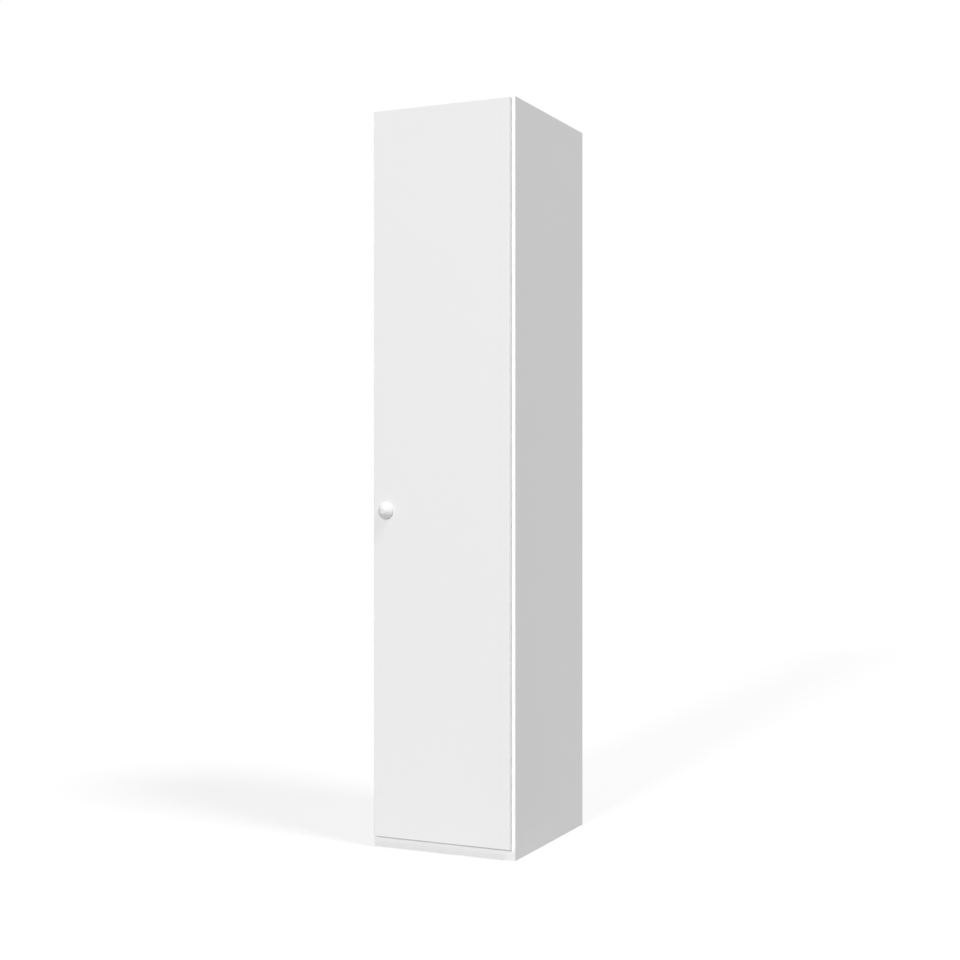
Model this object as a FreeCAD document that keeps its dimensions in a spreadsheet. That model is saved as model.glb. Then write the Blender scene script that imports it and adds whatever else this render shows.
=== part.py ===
import FreeCAD, Part
import os
import Sketcher

# Tall wardrobe with one overlay door, in millimetres.
# Front faces -Y, +X is to the right of someone facing the door, +Z is up.
# The origin is on the floor, at the middle of the outline seen from above, knob included.

doc = FreeCAD.newDocument("wardrobe")
sheet = doc.addObject("Spreadsheet::Sheet", "Sizes")

sizes = (
    # carcass boards
    ("wardrobe_width", "500"),
    ("carcass_depth", "580"),
    ("wardrobe_height", "2390"),
    ("panel_thickness", "16"),
    ("band_round", "1"),
    ("plinth_height", "44"),
    ("back_thickness", "3"),
    ("back_inset", "8"),
    ("groove_depth", "6"),
    ("groove_clearance", "0.2"),
    ("back_end_clearance", "0.5"),
    # corner joints of the boards
    ("joint_front_line", "60"),
    ("joint_rear_line", "470"),
    ("dowel_offset", "32"),
    ("dowel_diameter", "8"),
    ("dowel_length", "30"),
    ("dowel_side_part", "11"),
    ("dowel_chamfer", "1"),
    ("dowel_fit_clearance", "0.04"),
    ("dowel_end_clearance", "0.5"),
    ("cam_setback", "34"),
    ("cam_diameter", "15"),
    ("cam_thickness", "12.5"),
    ("cam_fit_clearance", "0.1"),
    ("cam_entry_diameter", "7.6"),
    ("cam_entry_overrun", "2.5"),
    ("cam_slot_length", "10"),
    ("cam_slot_width", "2"),
    ("cam_slot_depth", "1.5"),
    ("bolt_bore_diameter", "8"),
    ("bolt_thread_diameter", "5"),
    ("bolt_thread_length", "11"),
    ("bolt_shank_diameter", "6.6"),
    ("bolt_shank_length", "25"),
    ("bolt_neck_diameter", "4.4"),
    ("bolt_neck_length", "7"),
    ("bolt_head_diameter", "7"),
    ("bolt_head_length", "3.5"),
    ("screw_fit_clearance", "0.02"),
    ("screw_end_clearance", "0.5"),
    # back panel screws
    ("back_screw_count", "4"),
    ("back_screw_edge", "50"),
    ("back_screw_diameter", "2.6"),
    ("back_screw_length", "18"),
    ("back_screw_head_diameter", "6"),
    ("back_screw_head_height", "1.8"),
    # hat shelf and its rows of holes
    ("system_hole_diameter", "5"),
    ("system_hole_depth", "12"),
    ("system_pitch", "32"),
    ("system_front_line", "37"),
    ("system_rear_line", "485"),
    ("shelf_rows_below_top", "450"),
    ("shelf_row_count", "9"),
    ("shelf_row", "3"),
    ("shelf_setback", "25"),
    ("shelf_back_gap", "8.8"),
    ("shelf_end_clearance", "1"),
    ("pin_plug_length", "11"),
    ("pin_plug_clearance", "0.05"),
    ("pin_tongue_length", "9"),
    ("pin_tongue_width", "11"),
    ("pin_tongue_thickness", "5"),
    # clothes rail
    ("rail_below_top", "418"),
    ("rail_line", "285"),
    ("rail_diameter", "25"),
    ("rail_wall", "1.2"),
    ("socket_flange_diameter", "54"),
    ("socket_flange_thickness", "3"),
    ("socket_collar_diameter", "31"),
    ("socket_collar_length", "15"),
    ("socket_clearance", "0.08"),
    ("socket_screw_spacing", "42"),
    ("socket_screw_diameter", "3"),
    ("socket_screw_length", "14"),
    ("socket_screw_head_diameter", "7"),
    ("socket_screw_head_height", "2.4"),
    ("socket_screw_hole_clearance", "0.3"),
    # door
    ("door_thickness", "16"),
    ("door_gap", "3"),
    ("door_reveal_left", "7.5"),
    ("door_reveal_right", "12.5"),
    ("door_reveal_top", "3"),
    ("door_bottom_height", "36"),
    ("door_front_round", "3"),
    ("door_back_round", "1"),
    # knob
    ("knob_edge_distance", "45.5"),
    ("knob_height", "1091"),
    ("knob_length", "24"),
    ("knob_base_diameter", "53"),
    ("knob_foot_length", "6"),
    ("knob_front_diameter", "21"),
    ("knob_front_round", "11"),
    ("knob_foot_round", "3"),
    ("knob_hole_depth", "18"),
    ("knob_screw_diameter", "4"),
    ("knob_screw_length", "32"),
    ("knob_screw_head_diameter", "9"),
    ("knob_screw_head_height", "2.6"),
    ("knob_screw_hole_clearance", "0.5"),
    # door bumpers
    ("bumper_diameter", "7"),
    ("bumper_air", "0.1"),
    ("bumper_round", "1"),
    ("bumper_first_height", "300"),
    ("bumper_top_distance", "300"),
    ("bumper_count", "3"),
    # cup hinges
    ("hinge_first_height", "130"),
    ("hinge_top_distance", "127"),
    ("hinge_count", "4"),
    ("pivot_inset", "4.5"),
    ("pivot_forward", "11"),
    ("hinge_pin_diameter", "3"),
    ("hinge_pin_length", "19"),
    ("hinge_running_clearance", "0.05"),
    ("cup_diameter", "35"),
    ("cup_depth", "12.5"),
    ("cup_edge_distance", "20.5"),
    ("cup_fit_clearance", "0.05"),
    ("cup_floor", "0.8"),
    ("cup_flange_diameter", "39"),
    ("cup_flange_thickness", "1.2"),
    ("cup_slot_width", "12.4"),
    ("cup_slot_reach", "16"),
    ("cup_slot_margin", "3"),
    ("cup_wing_offset", "6"),
    ("cup_wing_width", "13"),
    ("cup_wing_length", "62"),
    ("cup_wing_corner", "4"),
    ("cup_screw_spacing", "48"),
    ("cup_screw_diameter", "3"),
    ("cup_screw_length", "11"),
    ("cup_screw_head_diameter", "7"),
    ("cup_screw_head_height", "1.6"),
    ("cup_screw_hole_clearance", "0.3"),
    ("eye_diameter", "5.2"),
    ("arm_width", "11.6"),
    ("arm_sheet", "2.5"),
    ("neck_tilt", "1"),
    ("neck_left", "22.25"),
    ("neck_bend", "4.75"),
    ("neck_rise_front", "9.5"),
    ("neck_rise_back", "3.5"),
    ("arm_flat_start", "17"),
    ("arm_flat_end", "58"),
    ("arm_corner_step", "1"),
    ("plate_wing_thickness", "2.5"),
    ("plate_wing_width", "16"),
    ("plate_wing_length", "54"),
    ("plate_wing_corner", "5"),
    ("plate_block_height", "7.5"),
    ("plate_block_width", "12"),
    ("plate_block_front", "26"),
    ("plate_block_rear", "62"),
    ("plate_screw_diameter", "5"),
    ("plate_screw_length", "14"),
    ("plate_screw_head_diameter", "8.5"),
    ("plate_screw_head_height", "2.5"),
    ("plate_screw_hole_clearance", "0.2"),
    ("arm_screw_line", "50"),
    ("arm_screw_diameter", "4"),
    ("arm_screw_length", "8"),
    ("arm_screw_head_diameter", "7.5"),
    ("arm_screw_head_height", "2.4"),
    ("arm_screw_hole_clearance", "0.4"),
    # magnetic catches
    ("catch_first_height", "200"),
    ("catch_top_distance", "240"),
    ("catch_count", "2"),
    ("catch_width", "14"),
    ("catch_depth", "22"),
    ("catch_length", "46"),
    ("catch_setback", "1"),
    ("catch_corner", "3"),
    ("catch_screw_spacing", "32"),
    ("catch_screw_diameter", "3"),
    ("catch_screw_length", "24"),
    ("catch_screw_head_diameter", "6.4"),
    ("catch_screw_head_height", "2.2"),
    ("catch_screw_hole_clearance", "0.3"),
    ("magnet_width", "8"),
    ("magnet_length", "20"),
    ("magnet_depth", "12"),
    ("magnet_air", "0.1"),
    ("strike_width", "12"),
    ("strike_length", "40"),
    ("strike_thickness", "1"),
    ("strike_corner", "3"),
    ("strike_screw_spacing", "30"),
    ("strike_screw_diameter", "2.5"),
    ("strike_screw_length", "9"),
    ("strike_screw_head_diameter", "5"),
    ("strike_screw_head_height", "0.8"),
    ("strike_screw_hole_clearance", "0.3"),
    # wall bracket
    ("bracket_width", "22"),
    ("bracket_leg", "36"),
    ("bracket_sheet", "2"),
    ("bracket_wall_hole_diameter", "6"),
    ("bracket_wall_hole_drop", "22"),
    ("bracket_screw_offset", "20"),
    ("bracket_screw_diameter", "3.5"),
    ("bracket_screw_length", "13"),
    ("bracket_screw_head_diameter", "7"),
    ("bracket_screw_head_height", "2.4"),
    ("bracket_screw_hole_clearance", "0.3"),
    ("back_wall_hole_diameter", "9"),
    # cross recess of the screw heads
    ("recess_width", "1"),
    ("recess_share", "0.62"),
    ("recess_depth_share", "0.6"),
)

for row, (name, text) in enumerate(sizes, 1):
    sheet.set("A%d" % row, name)
    sheet.set("B%d" % row, text)
    sheet.setAlias("B%d" % row, name)
doc.recompute()


def size(name):
    """Formula text that reads one named size from the sheet."""
    return "Sizes." + name


# Places that several pieces share, as formula text
half_width = "(Sizes.wardrobe_width / 2)"
inner_width = "(Sizes.wardrobe_width - 2 * Sizes.panel_thickness)"
half_inner = "(Sizes.wardrobe_width / 2 - Sizes.panel_thickness)"
front = "((Sizes.knob_length + Sizes.door_thickness + Sizes.door_gap - Sizes.carcass_depth) / 2)"
back_front = "(Sizes.carcass_depth - Sizes.back_inset - Sizes.back_thickness - Sizes.groove_clearance)"
groove_width = "(Sizes.back_thickness + Sizes.groove_clearance)"
half_panel = "(Sizes.panel_thickness / 2)"
lower_joint = "(Sizes.plinth_height + Sizes.panel_thickness / 2)"
upper_joint = "(Sizes.wardrobe_height - Sizes.panel_thickness / 2)"
joint_middle = "((Sizes.wardrobe_height + Sizes.plinth_height) / 2)"
joint_half = "((Sizes.wardrobe_height - Sizes.plinth_height - Sizes.panel_thickness) / 2)"
joint_reach = "((Sizes.wardrobe_height - Sizes.plinth_height) / 2)"
door_width = "(Sizes.wardrobe_width - Sizes.door_reveal_left - Sizes.door_reveal_right)"
door_top = "(Sizes.wardrobe_height - Sizes.door_reveal_top)"
door_height = "(%s - Sizes.door_bottom_height)" % door_top
cup_across = "(Sizes.panel_thickness - Sizes.door_reveal_right - Sizes.cup_edge_distance)"
shelf_row_start = "(Sizes.wardrobe_height - Sizes.shelf_rows_below_top)"
shelf_pin_height = "(%s + Sizes.shelf_row * Sizes.system_pitch)" % shelf_row_start
rail_height = "(Sizes.wardrobe_height - Sizes.rail_below_top)"
hinge_row = "(%s - Sizes.hinge_top_distance - Sizes.hinge_first_height)" % door_top
catch_row = "(Sizes.wardrobe_height - Sizes.catch_top_distance - Sizes.catch_first_height)"
bumper_row = "(Sizes.wardrobe_height - Sizes.bumper_top_distance - Sizes.bumper_first_height)"


def find(body, role):
    """One plane or axis of a body's own origin."""
    for feature in body.Origin.OriginFeatures:
        if feature.Role == role:
            return feature


def new_body(name, across, along, up):
    """An empty body, placed by formulas."""
    body = doc.addObject("PartDesign::Body", name)
    body.Label = name
    body.AllowCompound = True
    body.setExpression("Placement.Base.x", across)
    body.setExpression("Placement.Base.y", along)
    body.setExpression("Placement.Base.z", up)
    return body


def new_sketch(body, plane, offset):
    """An empty sketch on one of the body's own planes, moved along that plane's normal."""
    sketch = body.newObject("Sketcher::SketchObject", body.Name + "_sketch")
    sketch.AttachmentSupport = (find(body, plane), [""])
    sketch.MapMode = "FlatFace"
    sketch.setExpression("AttachmentOffset.Base.z", offset)
    return sketch


def fix_point(sketch, shape, corner, start, across, up):
    """Ties one point of a sketch to the sketch's origin by two formulas."""
    for kind, value, text in (("DistanceX", start.x, across), ("DistanceY", start.y, up)):
        number = sketch.addConstraint(Sketcher.Constraint(kind, -1, 1, shape, corner, value))
        sketch.setExpression("Constraints[%d]" % number, text)


def draw_outline(sketch, corners):
    """A closed outline of straight lines through the given corners."""
    count = len(corners)
    turn = FreeCAD.Rotation(FreeCAD.Vector(0, 0, 1), 360.0 / count)
    spot = FreeCAD.Vector(10, 3, 0)
    spots = []
    for corner in corners:
        spots.append(spot)
        spot = turn.multVec(spot)
    lines = []
    for number in range(count):
        line = Part.LineSegment(spots[number], spots[(number + 1) % count])
        lines.append(sketch.addGeometry(line, False))
    for number in range(count):
        following = lines[(number + 1) % count]
        sketch.addConstraint(Sketcher.Constraint("Coincident", lines[number], 2, following, 1))
    for number in range(count):
        fix_point(sketch, lines[number], 1, spots[number], corners[number][0], corners[number][1])


def draw_rectangle(sketch, low_across, low_up, high_across, high_up):
    """A rectangle between two opposite corners."""
    draw_outline(sketch, (
        (low_across, low_up),
        (high_across, low_up),
        (high_across, high_up),
        (low_across, high_up),
    ))


def draw_plate(sketch, across, up, width, length, corner):
    """A rectangle about a centre with its four corners cut off."""
    left = "%s - %s / 2" % (across, width)
    right = "%s + %s / 2" % (across, width)
    low = "%s - %s / 2" % (up, length)
    high = "%s + %s / 2" % (up, length)
    draw_outline(sketch, (
        (left + " + " + corner, low),
        (right + " - " + corner, low),
        (right, low + " + " + corner),
        (right, high + " - " + corner),
        (right + " - " + corner, high),
        (left + " + " + corner, high),
        (left, high + " - " + corner),
        (left, low + " + " + corner),
    ))


def draw_circle(sketch, across, up, diameter):
    """A circle about a centre."""
    start = FreeCAD.Vector(1, 2, 0)
    circle = sketch.addGeometry(Part.Circle(start, FreeCAD.Vector(0, 0, 1), 3.0), False)
    fix_point(sketch, circle, 3, start, across, up)
    number = sketch.addConstraint(Sketcher.Constraint("Diameter", circle, 6.0))
    sketch.setExpression("Constraints[%d]" % number, diameter)


def add_pad(body, sketch, length, backwards=False, both=False):
    """Material added along the sketch's normal."""
    pad = body.newObject("PartDesign::Pad", body.Name + "_pad")
    pad.Profile = sketch
    pad.Reversed = backwards
    if both:
        pad.SideType = "Symmetric"
    pad.setExpression("Length", length)
    doc.recompute()
    return pad


def add_pocket(body, sketch, depth, along_normal=False, both=False):
    """Material cut away; checks that something was cut."""
    before = body.Shape.Volume
    pocket = body.newObject("PartDesign::Pocket", body.Name + "_pocket")
    pocket.Profile = sketch
    pocket.Reversed = along_normal
    if both:
        pocket.SideType = "Symmetric"
    pocket.setExpression("Length", depth)
    doc.recompute()
    if body.Shape.Volume > before - 0.01:
        raise RuntimeError(body.Label + ": a pocket cuts nothing")
    return pocket


def drill(body, plane, offset, holes, diameter, depth, along_normal=False):
    """Round holes of one size from one plane of a body."""
    sketch = new_sketch(body, plane, offset)
    for across, up in holes:
        draw_circle(sketch, across, up, diameter)
    return add_pocket(body, sketch, depth, along_normal)


def repeat_features(body, features, axis, length, count):
    """The same cuts again at equal steps along one axis of the body."""
    pattern = body.newObject("PartDesign::LinearPattern", body.Name + "_row")
    pattern.Originals = features
    pattern.Direction = (find(body, axis), [""])
    pattern.setExpression("Length", length)
    pattern.setExpression("Occurrences", count)
    body.Tip = pattern
    doc.recompute()


def repeat_piece(body, axis, length, count):
    """The whole piece again at equal steps along one axis of the body."""
    pattern = body.newObject("PartDesign::LinearPattern", body.Name + "_row")
    pattern.TransformMode = "Whole shape"
    pattern.Direction = (find(body, axis), [""])
    pattern.setExpression("Length", length)
    pattern.setExpression("Occurrences", count)
    body.Tip = pattern
    doc.recompute()


def mirror_piece(body, plane):
    """The whole piece again, mirrored in one plane of the body."""
    mirror = body.newObject("PartDesign::Mirrored", body.Name + "_mirror")
    mirror.TransformMode = "Whole shape"
    mirror.MirrorPlane = (find(body, plane), [""])
    body.Tip = mirror
    doc.recompute()


def round_edges(body, radius, wanted):
    """A fillet on every edge of the body that the test picks out."""
    names = []
    for number, edge in enumerate(body.Shape.Edges, 1):
        if wanted(edge):
            names.append("Edge%d" % number)
    base = body.Tip
    fillet = body.newObject("PartDesign::Fillet", body.Name + "_fillet")
    fillet.Base = (base, names)
    fillet.setExpression("Radius", radius)
    body.Tip = fillet
    doc.recompute()


def bevel_edges(body, width, wanted):
    """A chamfer on every edge of the body that the test picks out."""
    names = []
    for number, edge in enumerate(body.Shape.Edges, 1):
        if wanted(edge):
            names.append("Edge%d" % number)
    base = body.Tip
    chamfer = body.newObject("PartDesign::Chamfer", body.Name + "_chamfer")
    chamfer.Base = (base, names)
    chamfer.setExpression("Size", width)
    body.Tip = chamfer
    doc.recompute()


def is_circle(edge):
    """True for a round edge."""
    return edge.Curve.TypeId == "Part::GeomCircle"


def add_board(name, width, depth, height, across, along, up):
    """A plain rectangular board with its lower left front corner at its own origin."""
    body = new_body(name, across, along, up)
    sketch = new_sketch(body, "XY_Plane", "0")
    draw_rectangle(sketch, "0", "0", width, depth)
    add_pad(body, sketch, height)
    return body


def round_front(body):
    """Rounds a board's edge band over: the two long edges of its front, not those at its ends."""
    front_line = body.Placement.Base.y
    longest = max(body.Shape.BoundBox.XLength, body.Shape.BoundBox.ZLength)

    def is_band_edge(edge):
        return edge.BoundBox.YMax < front_line + sheet.band_round and edge.Length > longest / 2

    round_edges(body, size("band_round"), is_band_edge)


def add_screw(body, plane, offset, across, up, sizes_name, head_forward):
    """A pan head screw with a cross recess; its head stands on the plane at the offset.

    head_forward says whether the head is on the side that the plane's normal points to.
    """
    shank = "(Sizes.%s_diameter - 2 * Sizes.screw_fit_clearance)" % sizes_name
    head = size(sizes_name + "_head_diameter")
    height = size(sizes_name + "_head_height")
    sketch = new_sketch(body, plane, offset)
    draw_circle(sketch, across, up, shank)
    add_pad(body, sketch, size(sizes_name + "_length"), backwards=head_forward)
    sketch = new_sketch(body, plane, offset)
    draw_circle(sketch, across, up, head)
    add_pad(body, sketch, height, backwards=not head_forward)
    sign = "+" if head_forward else "-"
    top = "%s %s %s" % (offset, sign, height)
    half_long = "Sizes.recess_share * %s / 2" % head
    half_thin = "Sizes.recess_width / 2"
    for reach_across, reach_up in ((half_long, half_thin), (half_thin, half_long)):
        sketch = new_sketch(body, plane, top)
        draw_rectangle(
            sketch,
            across + " - " + reach_across,
            up + " - " + reach_up,
            across + " + " + reach_across,
            up + " + " + reach_up,
        )
        recess_depth = "Sizes.recess_depth_share * " + height
        add_pocket(body, sketch, recess_depth, along_normal=not head_forward)


# Side panels: full height boards that stand on the floor.
# Inside each are the back panel groove, the joint holes, the shelf hole rows and the rail screw holes.
def add_side(name, inner_offset, groove_low, groove_high, inward, across):
    body = add_board(
        name, size("panel_thickness"), size("carcass_depth"), size("wardrobe_height"), across, front, "0"
    )
    round_front(body)
    groove = new_sketch(body, "XY_Plane", "0")
    draw_rectangle(groove, groove_low, back_front, groove_high, back_front + " + " + groove_width)
    add_pocket(body, groove, size("wardrobe_height"), along_normal=True)
    dowel_front = "Sizes.joint_front_line + Sizes.dowel_offset"
    dowel_rear = "Sizes.joint_rear_line - Sizes.dowel_offset"
    dowel_spots = [(half_panel, "Sizes.plinth_height / 2")]
    bolt_spots = []
    for level in (lower_joint, upper_joint):
        dowel_spots.append((dowel_front, level))
        dowel_spots.append((dowel_rear, level))
        bolt_spots.append((size("joint_front_line"), level))
        bolt_spots.append((size("joint_rear_line"), level))
    dowel_depth = "Sizes.dowel_side_part + Sizes.dowel_end_clearance"
    drill(body, "YZ_Plane", inner_offset, dowel_spots, size("dowel_diameter"), dowel_depth, inward)
    bolt_depth = "Sizes.bolt_thread_length + Sizes.screw_end_clearance"
    drill(body, "YZ_Plane", inner_offset, bolt_spots, size("bolt_thread_diameter"), bolt_depth, inward)
    rail_spots = []
    for sign in ("+", "-"):
        rail_level = "%s %s Sizes.socket_screw_spacing / 2" % (rail_height, sign)
        rail_spots.append((size("rail_line"), rail_level))
    rail_depth = "Sizes.socket_screw_length - Sizes.socket_flange_thickness + Sizes.screw_end_clearance"
    drill(body, "YZ_Plane", inner_offset, rail_spots, size("socket_screw_diameter"), rail_depth, inward)
    row_spots = (
        (size("system_front_line"), shelf_row_start),
        (size("system_rear_line"), shelf_row_start),
    )
    holes = drill(
        body, "YZ_Plane", inner_offset, row_spots,
        size("system_hole_diameter"), size("system_hole_depth"), inward,
    )
    row_length = "Sizes.system_pitch * (Sizes.shelf_row_count - 1)"
    repeat_features(body, [holes], "Z_Axis", row_length, size("shelf_row_count"))
    return body


left_groove_low = "Sizes.panel_thickness - Sizes.groove_depth"
side_left = add_side(
    "side_panel_left", size("panel_thickness"), left_groove_low, size("panel_thickness"),
    False, "-" + half_width,
)
catch_spots = []
for sign in ("+", "-"):
    catch_spots.append((
        "Sizes.catch_setback + Sizes.catch_depth / 2",
        "Sizes.catch_first_height %s Sizes.catch_screw_spacing / 2" % sign,
    ))
catch_grip = "Sizes.catch_screw_length - Sizes.catch_width + Sizes.screw_end_clearance"
catch_holes = drill(
    side_left, "YZ_Plane", size("panel_thickness"), catch_spots, size("catch_screw_diameter"), catch_grip
)
repeat_features(side_left, [catch_holes], "Z_Axis", catch_row, size("catch_count"))

side_right = add_side("side_panel_right", "0", "0", size("groove_depth"), True, half_inner)
plate_spots = []
for sign in ("+", "-"):
    plate_level = "Sizes.hinge_first_height %s Sizes.system_pitch / 2" % sign
    plate_spots.append((size("system_front_line"), plate_level))
plate_grip = "Sizes.plate_screw_length - Sizes.plate_wing_thickness + Sizes.screw_end_clearance"
plate_holes = drill(
    side_right, "YZ_Plane", "0", plate_spots, size("plate_screw_diameter"), plate_grip, True
)
repeat_features(side_right, [plate_holes], "Z_Axis", hinge_row, size("hinge_count"))


# Top and bottom panels: between the sides, held by cam locks and located by dowels.
def bore_ends(body):
    """Dowel and cam bolt bores in both ends of a board between the sides."""
    bolt_spots = ((size("joint_front_line"), half_panel), (size("joint_rear_line"), half_panel))
    dowel_spots = (
        ("Sizes.joint_front_line + Sizes.dowel_offset", half_panel),
        ("Sizes.joint_rear_line - Sizes.dowel_offset", half_panel),
    )
    dowel_depth = "Sizes.dowel_length - Sizes.dowel_side_part + Sizes.dowel_end_clearance"
    for offset, along_normal in (("0", True), (inner_width, False)):
        bolt_bore = size("bolt_bore_diameter")
        drill(body, "YZ_Plane", offset, bolt_spots, bolt_bore, size("cam_setback"), along_normal)
        drill(body, "YZ_Plane", offset, dowel_spots, size("dowel_diameter"), dowel_depth, along_normal)


def bore_cams(body, offset, along_normal):
    """Cam lock bores in the hidden face of a board."""
    spots = []
    for across in (size("cam_setback"), inner_width + " - Sizes.cam_setback"):
        for line in (size("joint_front_line"), size("joint_rear_line")):
            spots.append((across, line))
    diameter = "Sizes.cam_diameter + 2 * Sizes.cam_fit_clearance"
    drill(body, "XY_Plane", offset, spots, diameter, size("cam_thickness"), along_normal)


top = add_board(
    "top_panel", inner_width, size("carcass_depth"), size("panel_thickness"),
    "-" + half_inner, front, "Sizes.wardrobe_height - Sizes.panel_thickness",
)
round_front(top)
top_groove = new_sketch(top, "YZ_Plane", "0")
draw_rectangle(top_groove, back_front, "0", back_front + " + " + groove_width, size("groove_depth"))
add_pocket(top, top_groove, inner_width, along_normal=True)
bore_ends(top)
bore_cams(top, size("panel_thickness"), False)
bracket_spot = (inner_width + " / 2", back_front + " - Sizes.bracket_screw_offset")
bracket_grip = "Sizes.bracket_screw_length - Sizes.bracket_sheet + Sizes.screw_end_clearance"
drill(top, "XY_Plane", "0", (bracket_spot,), size("bracket_screw_diameter"), bracket_grip, True)

bottom = add_board(
    "bottom_panel", inner_width, back_front, size("panel_thickness"),
    "-" + half_inner, front, size("plinth_height"),
)
round_front(bottom)
bore_ends(bottom)
bore_cams(bottom, "0", True)
back_screw_pitch = "(%s - 2 * Sizes.back_screw_edge)" % inner_width
back_grip = "Sizes.back_screw_length - Sizes.back_thickness + Sizes.screw_end_clearance"
back_holes = drill(
    bottom, "XZ_Plane", "-" + back_front, ((size("back_screw_edge"), half_panel),),
    size("back_screw_diameter"), back_grip, True,
)
repeat_features(bottom, [back_holes], "X_Axis", back_screw_pitch, size("back_screw_count"))

# Plinth: a low board under the bottom panel, between the sides, on one dowel at each end.
plinth = add_board(
    "plinth", inner_width, size("panel_thickness"), size("plinth_height"), "-" + half_inner, front, "0"
)
plinth_spot = ((half_panel, "Sizes.plinth_height / 2"),)
plinth_depth = "Sizes.dowel_length - Sizes.dowel_side_part + Sizes.dowel_end_clearance"
drill(plinth, "YZ_Plane", "0", plinth_spot, size("dowel_diameter"), plinth_depth, True)
drill(plinth, "YZ_Plane", inner_width, plinth_spot, size("dowel_diameter"), plinth_depth)

# Back panel: thin fibreboard in the grooves, screwed to the rear edge of the bottom panel.
back_reach = "(Sizes.groove_depth - Sizes.back_end_clearance)"
back = add_board(
    "back_panel", "%s + 2 * %s" % (inner_width, back_reach), size("back_thickness"),
    "Sizes.wardrobe_height - Sizes.panel_thickness + %s - Sizes.plinth_height" % back_reach,
    "-%s - %s" % (half_inner, back_reach), "%s + %s" % (front, back_front), size("plinth_height"),
)
back_spot = (("Sizes.back_screw_edge + " + back_reach, half_panel),)
back_through = drill(
    back, "XZ_Plane", "0", back_spot, size("back_screw_diameter"), size("back_thickness")
)
repeat_features(back, [back_through], "X_Axis", back_screw_pitch, size("back_screw_count"))
bracket_hole_height = "(Sizes.wardrobe_height - Sizes.panel_thickness - Sizes.bracket_wall_hole_drop)"
wall_spot = (("%s / 2 + %s" % (inner_width, back_reach), bracket_hole_height + " - Sizes.plinth_height"),)
drill(back, "XZ_Plane", "0", wall_spot, size("back_wall_hole_diameter"), size("back_thickness"))

back_screw_across = "-%s + Sizes.back_screw_edge" % half_inner
back_screws = new_body("back_panel_screws", back_screw_across, front, lower_joint)
back_rear = "(%s + Sizes.back_thickness)" % back_front
add_screw(back_screws, "XZ_Plane", "-" + back_rear, "0", "0", "back_screw", False)
repeat_piece(back_screws, "X_Axis", back_screw_pitch, size("back_screw_count"))

# Cam locks, cam bolts and dowels of the top and bottom panels.
# Each is drawn once, at the upper left front joint, and repeated to the other joints.
cams = new_body("cam_locks", "0", "%s + Sizes.joint_front_line" % front, joint_middle)
cam_across = "-(%s - Sizes.cam_setback)" % half_inner
cam_sketch = new_sketch(cams, "XY_Plane", joint_reach)
draw_circle(cam_sketch, cam_across, "0", size("cam_diameter"))
add_pad(cams, cam_sketch, size("cam_thickness"), backwards=True)
entry = new_sketch(cams, "YZ_Plane", cam_across + " + Sizes.cam_entry_overrun")
draw_circle(entry, "0", joint_half, size("cam_entry_diameter"))
add_pocket(cams, entry, "Sizes.cam_diameter / 2 + Sizes.cam_entry_overrun")
for long_way in (True, False):
    reach_across = "Sizes.cam_slot_length / 2" if long_way else "Sizes.cam_slot_width / 2"
    reach_along = "Sizes.cam_slot_width / 2" if long_way else "Sizes.cam_slot_length / 2"
    slot = new_sketch(cams, "XY_Plane", joint_reach)
    draw_rectangle(
        slot,
        cam_across + " - " + reach_across,
        "-" + reach_along,
        cam_across + " + " + reach_across,
        reach_along,
    )
    add_pocket(cams, slot, size("cam_slot_depth"))
joint_span = "(Sizes.joint_rear_line - Sizes.joint_front_line)"
repeat_piece(cams, "Y_Axis", joint_span, "2")
mirror_piece(cams, "YZ_Plane")
mirror_piece(cams, "XY_Plane")

bolts = new_body("cam_bolts", "0", "%s + Sizes.joint_front_line" % front, joint_middle)
bolt_start = "-" + half_inner
shank_end = bolt_start + " + Sizes.bolt_shank_length"
neck_end = shank_end + " + Sizes.bolt_neck_length"
thread = "Sizes.bolt_thread_diameter - 2 * Sizes.screw_fit_clearance"
bolt_steps = (
    (bolt_start, thread, size("bolt_thread_length"), True),
    (bolt_start, size("bolt_shank_diameter"), size("bolt_shank_length"), False),
    (shank_end, size("bolt_neck_diameter"), size("bolt_neck_length"), False),
    (neck_end, size("bolt_head_diameter"), size("bolt_head_length"), False),
)
for offset, diameter, length, backwards in bolt_steps:
    sketch = new_sketch(bolts, "YZ_Plane", offset)
    draw_circle(sketch, "0", joint_half, diameter)
    add_pad(bolts, sketch, length, backwards)
repeat_piece(bolts, "Y_Axis", joint_span, "2")
mirror_piece(bolts, "YZ_Plane")
mirror_piece(bolts, "XY_Plane")


def add_dowel(body, height):
    """One bevelled dowel across the left end joint at a given height."""
    sketch = new_sketch(body, "YZ_Plane", "-%s - Sizes.dowel_side_part" % half_inner)
    draw_circle(sketch, "0", height, "Sizes.dowel_diameter - 2 * Sizes.dowel_fit_clearance")
    add_pad(body, sketch, size("dowel_length"))
    bevel_edges(body, size("dowel_chamfer"), is_circle)


dowel_line = "%s + Sizes.joint_front_line + Sizes.dowel_offset" % front
dowels = new_body("dowels", "0", dowel_line, joint_middle)
add_dowel(dowels, joint_half)
repeat_piece(dowels, "Y_Axis", joint_span + " - 2 * Sizes.dowel_offset", "2")
mirror_piece(dowels, "YZ_Plane")
mirror_piece(dowels, "XY_Plane")

plinth_dowels = new_body("plinth_dowels", "0", "%s + %s" % (front, half_panel), "Sizes.plinth_height / 2")
add_dowel(plinth_dowels, "0")
mirror_piece(plinth_dowels, "YZ_Plane")

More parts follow.
